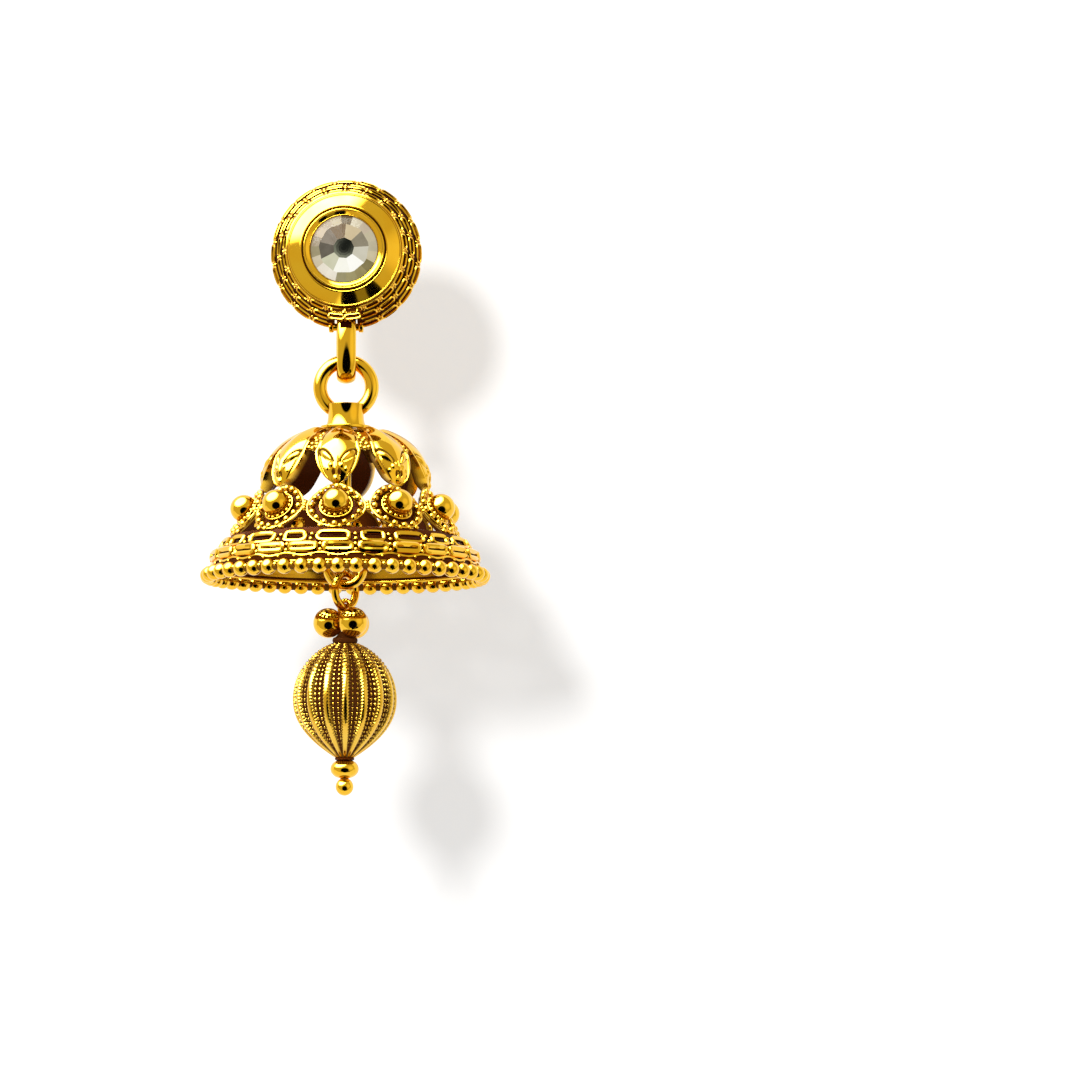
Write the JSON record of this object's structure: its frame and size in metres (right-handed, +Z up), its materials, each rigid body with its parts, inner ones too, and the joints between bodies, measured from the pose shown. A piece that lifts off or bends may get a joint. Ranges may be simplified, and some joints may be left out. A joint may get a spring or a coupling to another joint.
{
  "type": "jhumka earring",
  "caption": "Drop earring: round stone-set stud, openwork petalled bell with a beaded rim, and a ribbed bead drop hanging inside the bell.",
  "frame": {"origin": "centre of the stud's back face, where it sits on the ear lobe", "axes": "+Z up along the hanging earring, +Y along the ear post away from the stud, so the front faces -Y, +X to the right as seen from the front"},
  "size_m": [0.026, 0.026, 0.0558],
  "materials": {
    "gold": "polished yellow gold",
    "antiqued_gold": "polished ribs over dark antiqued grooves",
    "crystal": "faceted, foil-backed, champagne"
  },
  "bodies": {
    "stud": {"stud_cup": "gold", "bevel_ring": "gold", "stone_bezel": "gold", "stone": "crystal", "ear_post": "gold"},
    "link": {"hanging_link": "gold"},
    "bell": {"bell_hanger": "gold", "petal_dome": "gold", "bead_lattice": "gold", "bell_skirt": "gold", "bead_rim": "gold"},
    "bell_ring": {"jump_ring": "gold"},
    "drop": {"drop_ring": "gold", "drop_pin": "gold", "bead_cluster": "gold", "ribbed_bead": "antiqued_gold", "spacer_bead": "gold"}
  },
  "joints": [
    {"name": "link_swing", "type": "hinge", "parent": "stud", "child": "link", "pos_m": [0, -0.0005, -0.0066], "axis": [1, 0, 0], "range_deg": [-40, 40]},
    {"name": "bell_swing", "type": "hinge", "parent": "link", "child": "bell", "pos_m": [0, -0.0005, -0.01123], "axis": [0, 1, 0], "range_deg": [-40, 40]},
    {"name": "ring_swing", "type": "hinge", "parent": "bell", "child": "bell_ring", "pos_m": [0, -0.0005, -0.0279], "axis": [0, 1, 0], "range_deg": [-30, 30]},
    {"name": "drop_swing", "type": "hinge", "parent": "bell_ring", "child": "drop", "pos_m": [0, -0.0005, -0.02999], "axis": [0.829, -0.5592, 0], "range_deg": [-35, 35]}
  ]
}
